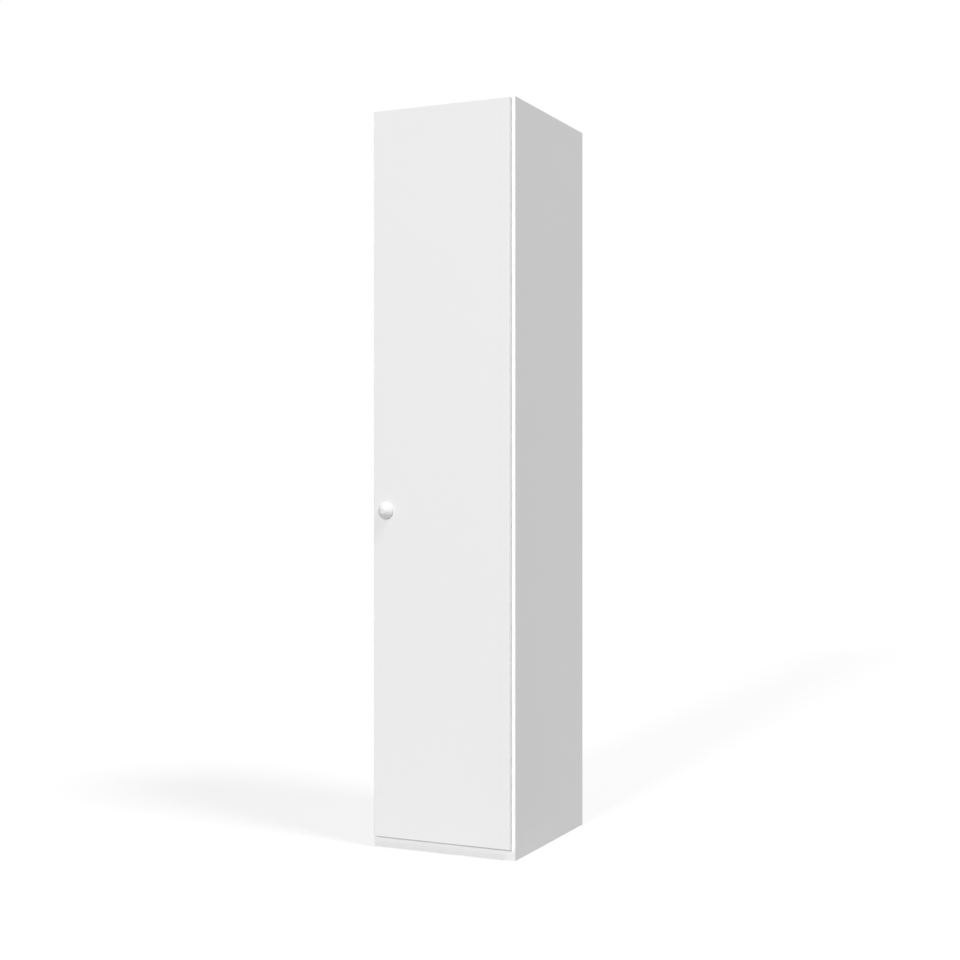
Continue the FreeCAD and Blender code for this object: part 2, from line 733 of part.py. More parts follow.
# Hat shelf: a loose board that rests on four pins in the hole rows.
shelf_height = "%s + Sizes.pin_tongue_thickness / 2" % shelf_pin_height
shelf = add_board(
    "hat_shelf", inner_width + " - 2 * Sizes.shelf_end_clearance",
    "%s - Sizes.shelf_setback - Sizes.shelf_back_gap" % back_front, size("panel_thickness"),
    "-%s + Sizes.shelf_end_clearance" % half_inner, "%s + Sizes.shelf_setback" % front, shelf_height,
)
round_front(shelf)

pins = new_body("shelf_pins", "0", "%s + Sizes.system_front_line" % front, shelf_pin_height)
plug = new_sketch(pins, "YZ_Plane", "-" + half_inner)
draw_circle(plug, "0", "0", "Sizes.system_hole_diameter - 2 * Sizes.pin_plug_clearance")
add_pad(pins, plug, size("pin_plug_length"), backwards=True)
tongue = new_sketch(pins, "YZ_Plane", "-" + half_inner)
tongue_corner = "Sizes.pin_tongue_thickness / 4"
draw_plate(tongue, "0", "0", size("pin_tongue_width"), size("pin_tongue_thickness"), tongue_corner)
add_pad(pins, tongue, size("pin_tongue_length"))
repeat_piece(pins, "Y_Axis", "Sizes.system_rear_line - Sizes.system_front_line", "2")
mirror_piece(pins, "YZ_Plane")

# Clothes rail: a steel tube held in two screwed sockets.
rail_along = "%s + Sizes.rail_line" % front
rail = new_body("clothes_rail", "0", rail_along, rail_height)
tube = new_sketch(rail, "YZ_Plane", "0")
draw_circle(tube, "0", "0", size("rail_diameter"))
draw_circle(tube, "0", "0", "Sizes.rail_diameter - 2 * Sizes.rail_wall")
add_pad(rail, tube, inner_width + " - 2 * Sizes.socket_flange_thickness", both=True)

sockets = new_body("rail_sockets", "0", rail_along, rail_height)
flange = new_sketch(sockets, "YZ_Plane", "-" + half_inner)
draw_circle(flange, "0", "0", size("socket_flange_diameter"))
add_pad(sockets, flange, size("socket_flange_thickness"))
collar = new_sketch(sockets, "YZ_Plane", "-%s + Sizes.socket_flange_thickness" % half_inner)
draw_circle(collar, "0", "0", size("socket_collar_diameter"))
draw_circle(collar, "0", "0", "Sizes.rail_diameter + 2 * Sizes.socket_clearance")
add_pad(sockets, collar, size("socket_collar_length"))
screw_spots = (("0", "Sizes.socket_screw_spacing / 2"), ("0", "-Sizes.socket_screw_spacing / 2"))
socket_hole = "Sizes.socket_screw_diameter + Sizes.socket_screw_hole_clearance"
drill(
    sockets, "YZ_Plane", "-%s + Sizes.socket_flange_thickness" % half_inner, screw_spots,
    socket_hole, size("socket_flange_thickness"),
)
mirror_piece(sockets, "YZ_Plane")

socket_screws = new_body("rail_socket_screws", "0", rail_along, rail_height)
add_screw(
    socket_screws, "YZ_Plane", "-%s + Sizes.socket_flange_thickness" % half_inner,
    "0", "-Sizes.socket_screw_spacing / 2", "socket_screw", True,
)
repeat_piece(socket_screws, "Z_Axis", size("socket_screw_spacing"), "2")
mirror_piece(socket_screws, "YZ_Plane")

# Door: an overlay board with a wide round along its front edges, cup bores and screw holes behind.
door = add_board(
    "door_panel", door_width, size("door_thickness"), door_height,
    "-%s + Sizes.door_reveal_left" % half_width,
    "%s - Sizes.door_gap - Sizes.door_thickness" % front, size("door_bottom_height"),
)


def is_door_front(edge):
    """True for the edges round the door's front face."""
    return edge.BoundBox.YMax < door.Placement.Base.y + sheet.door_thickness / 2


def is_door_back(edge):
    """True for the edges round the door's back face."""
    return edge.BoundBox.YMin > door.Placement.Base.y + sheet.door_thickness / 2


round_edges(door, size("door_front_round"), is_door_front)
round_edges(door, size("door_back_round"), is_door_back)
door_back = "-Sizes.door_thickness"
first_cup = "(Sizes.hinge_first_height - Sizes.door_bottom_height)"
cup_spot = (("%s - Sizes.cup_edge_distance" % door_width, first_cup),)
cup_bore = drill(
    door, "XZ_Plane", door_back, cup_spot, "Sizes.cup_diameter + 2 * Sizes.cup_fit_clearance",
    size("cup_depth"), True,
)
cup_screw_spots = []
for sign in ("+", "-"):
    cup_screw_spots.append((
        "%s - Sizes.cup_edge_distance - Sizes.cup_wing_offset" % door_width,
        "%s %s Sizes.cup_screw_spacing / 2" % (first_cup, sign),
    ))
cup_screw_grip = "Sizes.cup_screw_length - Sizes.cup_flange_thickness + Sizes.screw_end_clearance"
cup_screw_holes = drill(
    door, "XZ_Plane", door_back, cup_screw_spots, size("cup_screw_diameter"), cup_screw_grip, True
)
repeat_features(door, [cup_bore, cup_screw_holes], "Z_Axis", hinge_row, size("hinge_count"))
knob_spot = ((size("knob_edge_distance"), "Sizes.knob_height - Sizes.door_bottom_height"),)
knob_bore = "Sizes.knob_screw_diameter + Sizes.knob_screw_hole_clearance"
drill(door, "XZ_Plane", door_back, knob_spot, knob_bore, size("door_thickness"), True)
strike_across = "(Sizes.panel_thickness + Sizes.catch_width / 2 - Sizes.door_reveal_left)"
strike_spots = []
for sign in ("+", "-"):
    strike_spots.append((
        strike_across,
        "Sizes.catch_first_height - Sizes.door_bottom_height %s Sizes.strike_screw_spacing / 2" % sign,
    ))
strike_grip = "Sizes.strike_screw_length - Sizes.strike_thickness + Sizes.screw_end_clearance"
strike_holes = drill(
    door, "XZ_Plane", door_back, strike_spots, size("strike_screw_diameter"), strike_grip, True
)
repeat_features(door, [strike_holes], "Z_Axis", catch_row, size("catch_count"))

# Knob: turned, widest at the door, a low cone that is rounded over to a small flat front.
knob_across = "-%s + Sizes.door_reveal_left + Sizes.knob_edge_distance" % half_width
door_face = "%s - Sizes.door_gap - Sizes.door_thickness" % front
knob = new_body("door_knob", knob_across, door_face, size("knob_height"))
profile = new_sketch(knob, "XY_Plane", "0")
draw_outline(profile, (
    ("0", "0"),
    ("Sizes.knob_base_diameter / 2", "0"),
    ("Sizes.knob_base_diameter / 2", "-Sizes.knob_foot_length"),
    ("Sizes.knob_front_diameter / 2", "-Sizes.knob_length"),
    ("0", "-Sizes.knob_length"),
))
turned = knob.newObject("PartDesign::Revolution", "door_knob_turned")
turned.Profile = profile
turned.ReferenceAxis = (profile, ["V_Axis"])
turned.Angle = 360
doc.recompute()


def is_knob_front(edge):
    """True for the round edge between the taper and the front of the knob."""
    if not is_circle(edge):
        return False
    return abs(2 * edge.Curve.Radius - sheet.knob_front_diameter) < 0.01


def is_knob_foot(edge):
    """True for the round edge between the foot and the taper of the knob."""
    if not is_circle(edge):
        return False
    is_base = abs(2 * edge.Curve.Radius - sheet.knob_base_diameter) < 0.01
    return is_base and edge.BoundBox.YMax < door.Placement.Base.y - sheet.knob_foot_length / 2


round_edges(knob, size("knob_front_round"), is_knob_front)
round_edges(knob, size("knob_foot_round"), is_knob_foot)
drill(knob, "XZ_Plane", "0", (("0", "0"),), size("knob_screw_diameter"), size("knob_hole_depth"), True)

knob_screw = new_body("knob_screw", knob_across, door_face, size("knob_height"))
add_screw(knob_screw, "XZ_Plane", door_back, "0", "0", "knob_screw", False)

# Door bumpers: soft buttons on the back of the door that meet the front edge of the left side.
bumper_across = "-%s + (Sizes.panel_thickness + Sizes.door_reveal_left) / 2" % half_width
door_rear = "%s - Sizes.door_gap" % front
bumpers = new_body("door_bumpers", bumper_across, door_rear, size("bumper_first_height"))
bumper_sketch = new_sketch(bumpers, "XZ_Plane", "0")
draw_circle(bumper_sketch, "0", "0", size("bumper_diameter"))
add_pad(bumpers, bumper_sketch, "Sizes.door_gap - Sizes.bumper_air", backwards=True)


def is_bumper_top(edge):
    """True for the bumper's round edge away from the door."""
    return is_circle(edge) and edge.BoundBox.YMin > bumpers.Placement.Base.y + sheet.bumper_round


round_edges(bumpers, size("bumper_round"), is_bumper_top)
repeat_piece(bumpers, "Z_Axis", bumper_row, size("bumper_count"))

# Cup hinges: one pivot each, with a goose-neck arm that reaches round the edge of the door.
# All hinge pieces share an origin at the front edge of the right side's inner face.
pivot_across = "-Sizes.pivot_inset"
pivot_along = "-Sizes.pivot_forward"


def new_hinge_body(name):
    """A body at the lowest hinge."""
    return new_body(name, half_inner, front, size("hinge_first_height"))


def repeat_hinge(body):
    """The same hinge piece at every hinge of the door."""
    repeat_piece(body, "Z_Axis", hinge_row, size("hinge_count"))


cups = new_hinge_body("hinge_cups")
cup_sketch = new_sketch(cups, "XZ_Plane", size("door_gap"))
draw_circle(cup_sketch, cup_across, "0", size("cup_diameter"))
add_pad(cups, cup_sketch, size("cup_depth"))
cup_flange = new_sketch(cups, "XZ_Plane", size("door_gap"))
draw_circle(cup_flange, cup_across, "0", size("cup_flange_diameter"))
add_pad(cups, cup_flange, size("cup_flange_thickness"), backwards=True)
cup_wing = new_sketch(cups, "XZ_Plane", size("door_gap"))
wing_across = "(%s - Sizes.cup_wing_offset)" % cup_across
draw_plate(
    cup_wing, wing_across, "0", size("cup_wing_width"), size("cup_wing_length"), size("cup_wing_corner")
)
add_pad(cups, cup_wing, size("cup_flange_thickness"), backwards=True)
cup_top = "Sizes.door_gap - Sizes.cup_flange_thickness"
cavity = new_sketch(cups, "XZ_Plane", cup_top)
draw_rectangle(
    cavity,
    "%s - Sizes.cup_slot_reach" % cup_across, "-Sizes.cup_slot_width / 2",
    "%s + Sizes.cup_slot_margin" % pivot_across, "Sizes.cup_slot_width / 2",
)
cavity_depth = "Sizes.cup_depth + Sizes.cup_flange_thickness - Sizes.cup_floor"
add_pocket(cups, cavity, cavity_depth, along_normal=True)
pin_hole = new_sketch(cups, "XY_Plane", "0")
draw_circle(pin_hole, pivot_across, pivot_along, size("hinge_pin_diameter"))
add_pocket(cups, pin_hole, size("hinge_pin_length"), both=True)
wing_spots = (
    (wing_across, "Sizes.cup_screw_spacing / 2"),
    (wing_across, "-Sizes.cup_screw_spacing / 2"),
)
wing_hole = "Sizes.cup_screw_diameter + Sizes.cup_screw_hole_clearance"
drill(cups, "XZ_Plane", cup_top, wing_spots, wing_hole, size("cup_flange_thickness"), True)
repeat_hinge(cups)

hinge_pins = new_hinge_body("hinge_pins")
pin_sketch = new_sketch(hinge_pins, "XY_Plane", "0")
draw_circle(pin_sketch, pivot_across, pivot_along, size("hinge_pin_diameter"))
add_pad(hinge_pins, pin_sketch, size("hinge_pin_length"), both=True)
repeat_hinge(hinge_pins)

# The arm's outline: along the cup's floor from the pivot, out of the cup, then back onto its plate.
arms = new_hinge_body("hinge_arms")
arm_sketch = new_sketch(arms, "XY_Plane", "0")
half_sheet = "Sizes.arm_sheet / 2"
neck_right = "-Sizes.neck_left + Sizes.arm_sheet"
arm_face = "-Sizes.plate_block_height"
arm_top = "-Sizes.plate_block_height - Sizes.arm_sheet"
bend_out = "-Sizes.neck_left + Sizes.neck_bend"
bend_in = "-Sizes.neck_left + Sizes.neck_bend + Sizes.arm_corner_step"
draw_outline(arm_sketch, (
    (pivot_across, pivot_along + " - " + half_sheet),
    (bend_out, pivot_along + " - " + half_sheet + " - Sizes.neck_tilt"),
    ("-Sizes.neck_left", "-Sizes.neck_rise_front"),
    ("-Sizes.neck_left", size("neck_rise_back")),
    (arm_top, size("arm_flat_start")),
    (arm_top, size("arm_flat_end")),
    (arm_face, size("arm_flat_end")),
    (arm_face, "Sizes.arm_flat_start - Sizes.arm_corner_step"),
    (neck_right, "Sizes.neck_rise_back - Sizes.arm_corner_step"),
    (neck_right, "-Sizes.neck_rise_front + Sizes.arm_corner_step"),
    (bend_in, pivot_along + " + " + half_sheet + " - Sizes.neck_tilt"),
    (pivot_across, pivot_along + " + " + half_sheet),
))
add_pad(arms, arm_sketch, size("arm_width"), both=True)
eye = new_sketch(arms, "XY_Plane", "0")
draw_circle(eye, pivot_across, pivot_along, size("eye_diameter"))
add_pad(arms, eye, size("arm_width"), both=True)
eye_bore = new_sketch(arms, "XY_Plane", "0")
eye_bore_size = "Sizes.hinge_pin_diameter + 2 * Sizes.hinge_running_clearance"
draw_circle(eye_bore, pivot_across, pivot_along, eye_bore_size)
add_pocket(arms, eye_bore, size("arm_width"), both=True)
arm_hole = "Sizes.arm_screw_diameter + Sizes.arm_screw_hole_clearance"
drill(arms, "YZ_Plane", arm_face, ((size("arm_screw_line"), "0"),), arm_hole, size("arm_sheet"))
repeat_hinge(arms)

plates = new_hinge_body("hinge_plates")
wing = new_sketch(plates, "YZ_Plane", "0")
draw_plate(
    wing, size("system_front_line"), "0", size("plate_wing_width"), size("plate_wing_length"),
    size("plate_wing_corner"),
)
add_pad(plates, wing, size("plate_wing_thickness"), backwards=True)
block = new_sketch(plates, "YZ_Plane", "0")
draw_rectangle(
    block, size("plate_block_front"), "-Sizes.plate_block_width / 2",
    size("plate_block_rear"), "Sizes.plate_block_width / 2",
)
add_pad(plates, block, size("plate_block_height"), backwards=True)
plate_spots = (
    (size("system_front_line"), "Sizes.system_pitch / 2"),
    (size("system_front_line"), "-Sizes.system_pitch / 2"),
)
plate_hole = "Sizes.plate_screw_diameter + Sizes.plate_screw_hole_clearance"
drill(plates, "YZ_Plane", "0", plate_spots, plate_hole, size("plate_wing_thickness"))
arm_grip = "Sizes.arm_screw_length - Sizes.arm_sheet + Sizes.screw_end_clearance"
arm_screw_spot = ((size("arm_screw_line"), "0"),)
drill(plates, "YZ_Plane", arm_face, arm_screw_spot, size("arm_screw_diameter"), arm_grip, True)
repeat_hinge(plates)

plate_screws = new_hinge_body("hinge_plate_screws")
add_screw(
    plate_screws, "YZ_Plane", "-Sizes.plate_wing_thickness", size("system_front_line"),
    "-Sizes.system_pitch / 2", "plate_screw", False,
)
repeat_piece(plate_screws, "Z_Axis", size("system_pitch"), "2")
repeat_hinge(plate_screws)

arm_screws = new_hinge_body("hinge_arm_screws")
add_screw(arm_screws, "YZ_Plane", arm_top, size("arm_screw_line"), "0", "arm_screw", False)
repeat_hinge(arm_screws)

cup_screws = new_hinge_body("hinge_cup_screws")
add_screw(
    cup_screws, "XZ_Plane", cup_top, wing_across, "-Sizes.cup_screw_spacing / 2", "cup_screw", False
)
repeat_piece(cup_screws, "Z_Axis", size("cup_screw_spacing"), "2")
repeat_hinge(cup_screws)

# Magnetic catches on the left side, with steel strike plates on the back of the door.
catch_along = "%s + Sizes.catch_setback" % front
housings = new_body("catch_housings", "-" + half_inner, catch_along, size("catch_first_height"))
housing = new_sketch(housings, "YZ_Plane", "0")
draw_plate(
    housing, "Sizes.catch_depth / 2", "0", size("catch_depth"), size("catch_length"), size("catch_corner")
)
add_pad(housings, housing, size("catch_width"))
pocket_sketch = new_sketch(housings, "XZ_Plane", "0")
draw_rectangle(
    pocket_sketch,
    "(Sizes.catch_width - Sizes.magnet_width) / 2", "-Sizes.magnet_length / 2",
    "(Sizes.catch_width + Sizes.magnet_width) / 2", "Sizes.magnet_length / 2",
)
magnet_out = "(Sizes.catch_setback + Sizes.door_gap - Sizes.strike_thickness - Sizes.magnet_air)"
add_pocket(housings, pocket_sketch, "Sizes.magnet_depth - " + magnet_out)
housing_spots = (
    ("Sizes.catch_depth / 2", "Sizes.catch_screw_spacing / 2"),
    ("Sizes.catch_depth / 2", "-Sizes.catch_screw_spacing / 2"),
)
housing_hole = "Sizes.catch_screw_diameter + Sizes.catch_screw_hole_clearance"
drill(housings, "YZ_Plane", size("catch_width"), housing_spots, housing_hole, size("catch_width"))
repeat_piece(housings, "Z_Axis", catch_row, size("catch_count"))

magnets = new_body("catch_magnets", "-" + half_inner, catch_along, size("catch_first_height"))
magnet = new_sketch(magnets, "XZ_Plane", magnet_out)
draw_rectangle(
    magnet,
    "(Sizes.catch_width - Sizes.magnet_width) / 2", "-Sizes.magnet_length / 2",
    "(Sizes.catch_width + Sizes.magnet_width) / 2", "Sizes.magnet_length / 2",
)
add_pad(magnets, magnet, size("magnet_depth"), backwards=True)
repeat_piece(magnets, "Z_Axis", catch_row, size("catch_count"))

catch_screws = new_body("catch_screws", "-" + half_inner, catch_along, size("catch_first_height"))
add_screw(
    catch_screws, "YZ_Plane", size("catch_width"), "Sizes.catch_depth / 2",
    "-Sizes.catch_screw_spacing / 2", "catch_screw", True,
)
repeat_piece(catch_screws, "Z_Axis", size("catch_screw_spacing"), "2")
repeat_piece(catch_screws, "Z_Axis", catch_row, size("catch_count"))

strikes = new_body("strike_plates", "-" + half_inner, door_rear, size("catch_first_height"))
strike = new_sketch(strikes, "XZ_Plane", "0")
draw_plate(
    strike, "Sizes.catch_width / 2", "0",
    size("strike_width"), size("strike_length"), size("strike_corner"),
)
add_pad(strikes, strike, size("strike_thickness"), backwards=True)
strike_plate_spots = (
    ("Sizes.catch_width / 2", "Sizes.strike_screw_spacing / 2"),
    ("Sizes.catch_width / 2", "-Sizes.strike_screw_spacing / 2"),
)
strike_hole = "Sizes.strike_screw_diameter + Sizes.strike_screw_hole_clearance"
drill(
    strikes, "XZ_Plane", "-Sizes.strike_thickness", strike_plate_spots, strike_hole,
    size("strike_thickness"), True,
)
repeat_piece(strikes, "Z_Axis", catch_row, size("catch_count"))

strike_screws = new_body("strike_screws", "-" + half_inner, door_rear, size("catch_first_height"))
add_screw(
    strike_screws, "XZ_Plane", "-Sizes.strike_thickness", "Sizes.catch_width / 2",
    "-Sizes.strike_screw_spacing / 2", "strike_screw", False,
)
repeat_piece(strike_screws, "Z_Axis", size("strike_screw_spacing"), "2")
repeat_piece(strike_screws, "Z_Axis", catch_row, size("catch_count"))

# Wall bracket: a bent steel strip under the top panel, for a screw through the back panel into the wall.
bracket_along = "%s + %s" % (front, back_front)
bracket_up = "Sizes.wardrobe_height - Sizes.panel_thickness"
bracket = new_body("wall_bracket", "0", bracket_along, bracket_up)
bend = new_sketch(bracket, "YZ_Plane", "0")
draw_outline(bend, (
    ("0", "0"),
    ("-Sizes.bracket_leg", "0"),
    ("-Sizes.bracket_leg", "-Sizes.bracket_sheet"),
    ("-Sizes.bracket_sheet", "-Sizes.bracket_sheet"),
    ("-Sizes.bracket_sheet", "-Sizes.bracket_leg"),
    ("0", "-Sizes.bracket_leg"),
))
add_pad(bracket, bend, size("bracket_width"), both=True)
wall_hole = (("0", "-Sizes.bracket_wall_hole_drop"),)
wall_bore = size("bracket_wall_hole_diameter")
drill(bracket, "XZ_Plane", "0", wall_hole, wall_bore, size("bracket_sheet"), True)
screw_hole = (("0", "-Sizes.bracket_screw_offset"),)
bracket_hole = "Sizes.bracket_screw_diameter + Sizes.bracket_screw_hole_clearance"
drill(bracket, "XY_Plane", "0", screw_hole, bracket_hole, size("bracket_sheet"))

bracket_screw = new_body("wall_bracket_screw", "0", bracket_along, bracket_up)
add_screw(
    bracket_screw, "XY_Plane", "-Sizes.bracket_sheet", "0", "-Sizes.bracket_screw_offset",
    "bracket_screw", False,
)

# Check every piece and write one file for each
doc.recompute()
os.makedirs("parts", exist_ok=True)
for item in doc.Objects:
    if "Invalid" in item.State or "Error" in item.State:
        raise RuntimeError(item.Label + " did not build")
for item in doc.Objects:
    if item.TypeId != "PartDesign::Body":
        continue
    shape = item.Shape
    if shape.isNull() or not shape.isValid():
        raise RuntimeError(item.Label + " has a bad shape")
    shape.exportStep("parts/%s.step" % item.Label)
    box = shape.BoundBox
    print("%-20s %2d solids  X %8.2f %8.2f  Y %8.2f %8.2f  Z %8.2f %8.2f" % (
        item.Label, len(shape.Solids), box.XMin, box.XMax, box.YMin, box.YMax, box.ZMin, box.ZMax
    ))
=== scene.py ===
import bpy
import math
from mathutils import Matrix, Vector


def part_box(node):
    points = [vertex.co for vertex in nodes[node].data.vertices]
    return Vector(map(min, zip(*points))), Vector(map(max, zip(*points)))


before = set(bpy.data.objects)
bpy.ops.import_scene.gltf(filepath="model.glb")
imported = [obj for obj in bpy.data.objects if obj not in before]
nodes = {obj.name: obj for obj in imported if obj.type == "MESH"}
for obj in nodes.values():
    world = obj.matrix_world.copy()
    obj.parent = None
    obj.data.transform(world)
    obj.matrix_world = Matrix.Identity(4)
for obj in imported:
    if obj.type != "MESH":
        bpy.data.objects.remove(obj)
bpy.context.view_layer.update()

# Side panels: two full height boards of 16 mm chipboard with a white melamine face on both sides.
# A plastic band with rounded arrises is glued to the front and top edges; rear and foot stay raw.
# They stand on the floor and carry every other board; the foot of their bands is painted greyer, as painted
# shade near the floor.
NOISE_LOW = 0.3
NOISE_MIDDLE = 0.5
NOISE_HIGH = 0.7
FLAKE_DARK = (0.34, 0.22, 0.12, 1.0)
FLAKE_PALE = (0.66, 0.51, 0.34, 1.0)
FLAKE_PORE = (0.22, 0.14, 0.08, 1.0)
FLAKE_FIBRE = (0.72, 0.60, 0.44, 1.0)
FLAKE_BEND = (0.006, 0.006, 0.006)
FLAKE_FLATNESS = 2.6
BOARD_WHITE = 0.815
BOARD_ROUGHNESS = 0.5
RAW_ROUGHNESS = 0.9
PEBBLE_SHARE = 0.12
MELAMINE_SPECULAR = 0.45
FACE_FOIL = 0.0003
# Edge band white: partly a whiter plastic than the faces, partly a painted highlight for the light that the
# edges catch.
BAND_WHITE_AND_HIGHLIGHT = 0.93
BAND_THICKNESS = 0.001
GLUE_LINE = 0.00012
GLUE_TONE = 0.80
# Painted shade: the bands' white fades to this greyer white towards the floor, between these two heights.
FOOT_SHADE_WHITE = 0.84
FOOT_SHADE_LOW = 0.022
FOOT_SHADE_HIGH = 0.042
PAST_THE_EDGE = 1.0


def put(tree, kind, inputs=None, **settings):
    """One shader node: settings are its own properties, inputs are plain values or links."""
    node = tree.nodes.new("ShaderNode" + kind)
    for name, value in settings.items():
        setattr(node, name, value)
    for name, value in (inputs or {}).items():
        if isinstance(value, bpy.types.NodeSocket):
            tree.links.new(value, node.inputs[name])
        else:
            node.inputs[name].default_value = value
    return node


def feed(tree, node, **links):
    """Links values to sockets of a node, an underscore standing for a space."""
    for name, socket in links.items():
        tree.links.new(socket, node.inputs[name.replace("_", " ")])


def new_group(name, takes, gives):
    """An empty shader node group with named sockets, and its first and last node."""
    group = bpy.data.node_groups.new(name, "ShaderNodeTree")
    for label, kind, value in takes:
        socket = group.interface.new_socket(label, in_out="INPUT", socket_type="NodeSocket" + kind)
        socket.default_value = value
    for label, kind in gives:
        group.interface.new_socket(label, in_out="OUTPUT", socket_type="NodeSocket" + kind)
    return group, group.nodes.new("NodeGroupInput"), group.nodes.new("NodeGroupOutput")


def surface_place(tree):
    """The place of each point of the surface, in metres."""
    return put(tree, "TexCoord").outputs["Object"]


def noise(tree, place, scale, detail, **others):
    """A noise value over the surface; others are further sockets of the texture."""
    inputs = {"Vector": place, "Scale": scale, "Detail": detail, **others}
    return put(tree, "TexNoise", inputs).outputs["Fac"]


def spread(tree, value, low, high, from_low=NOISE_LOW, from_high=NOISE_HIGH):
    """A value brought from one reach, by default that of a noise, to another."""
    return put(tree, "MapRange", {
        "Value": value,
        "From Min": from_low,
        "From Max": from_high,
        "To Min": low,
        "To Max": high,
    }).outputs["Result"]


def work_out(tree, operation, first, second):
    """One step of arithmetic on two values."""
    return put(tree, "Math", {0: first, 1: second}, operation=operation).outputs[0]


def work_out_vector(tree, operation, first, second):
    """One step of arithmetic on two places, part by part."""
    return put(tree, "VectorMath", {0: first, 1: second}, operation=operation).outputs[0]


def blend_values(tree, share, first, second):
    """A value that goes from the first to the second as the share goes from 0 to 1."""
    return put(tree, "Mix", {"Factor": share, "A": first, "B": second}).outputs["Result"]


def blend_colours(tree, share, first, second):
    """A colour that goes from the first to the second as the share goes from 0 to 1."""
    inputs = {"Factor": share, "A": first, "B": second}
    return put(tree, "Mix", inputs, data_type="RGBA").outputs["Result"]


def new_finish(name, bump_depth, bump_strength=1.0):
    """A material with a bump node on its shader; returns the material, its tree, shader and bump."""
    material = bpy.data.materials.new(name)
    material.use_nodes = True
    tree = material.node_tree
    shader = tree.nodes["Principled BSDF"]
    bump = put(tree, "Bump", {"Distance": bump_depth, "Strength": bump_strength})
    feed(tree, shader, Normal=bump.outputs["Normal"])
    return material, tree, shader, bump


def dress(node_name, material):
    """Gives a piece of the frame its finish."""
    for slot in nodes[node_name].material_slots:
        slot.material = material


pearl_grain, start, end = new_group(
    "pearl_grain",
    [("Fineness", "Float", 900.0), ("Drift", "Float", 0.02)],
    [("Tone", "Float"), ("Roughness Share", "Float"), ("Height", "Float")],
)
place = surface_place(pearl_grain)
pebble = noise(pearl_grain, place, scale=start.outputs["Fineness"], detail=2.0)
cloud = noise(pearl_grain, place, scale=5.0, detail=4.0)
smear = noise(pearl_grain, place, scale=38.0, detail=5.0)
patch = work_out(pearl_grain, "SUBTRACT", cloud, NOISE_MIDDLE)
patch = work_out(pearl_grain, "MULTIPLY", patch, start.outputs["Drift"])
feed(
    pearl_grain, end,
    Tone=work_out(pearl_grain, "ADD", patch, 1.0),
    Roughness_Share=spread(pearl_grain, smear, low=0.92, high=1.08),
    Height=pebble,
)

core_space, start, end = new_group(
    "core_space",
    [("Low", "Vector", (0.0, 0.0, 0.0)), ("High", "Vector", (1.0, 1.0, 1.0))],
    [("Inside", "Float")],
)
place = surface_place(core_space)
from_low = work_out_vector(core_space, "SUBTRACT", place, start.outputs["Low"])
to_high = work_out_vector(core_space, "SUBTRACT", start.outputs["High"], place)
nearest = work_out_vector(core_space, "MINIMUM", from_low, to_high)
parts = put(core_space, "SeparateXYZ", {0: nearest})
least = work_out(core_space, "MINIMUM", parts.outputs["X"], parts.outputs["Y"])
least = work_out(core_space, "MINIMUM", least, parts.outputs["Z"])
feed(core_space, end, Inside=work_out(core_space, "GREATER_THAN", least, 0.0))

chip_core, start, end = new_group(
    "chip_core",
    [("Flake Scale", "Float", 240.0), ("Lay", "Vector", (1.0, 1.0, 1.0))],
    [("Color", "Color"), ("Height", "Float")],
)
place = work_out_vector(chip_core, "MULTIPLY", surface_place(chip_core), start.outputs["Lay"])
drift = put(chip_core, "TexNoise", {"Vector": place, "Scale": 120.0, "Detail": 2.0}).outputs["Color"]
bend = work_out_vector(chip_core, "MULTIPLY", drift, FLAKE_BEND)
bent = work_out_vector(chip_core, "ADD", place, bend)
flakes = put(chip_core, "TexVoronoi", {"Vector": bent, "Scale": start.outputs["Flake Scale"]})
flake_tone = put(chip_core, "SeparateColor", {0: flakes.outputs["Color"]}).outputs["Red"]
pores = spread(chip_core, flakes.outputs["Distance"], low=0.0, high=0.55, from_low=0.35, from_high=0.85)
fibre = noise(chip_core, bent, scale=1400.0, detail=3.0)
wood = blend_colours(chip_core, flake_tone, FLAKE_DARK, FLAKE_PALE)
wood = blend_colours(chip_core, pores, wood, FLAKE_PORE)
wood = blend_colours(chip_core, spread(chip_core, fibre, low=0.0, high=0.3), wood, FLAKE_FIBRE)
feed(chip_core, end, Color=wood, Height=work_out(chip_core, "SUBTRACT", fibre, pores))


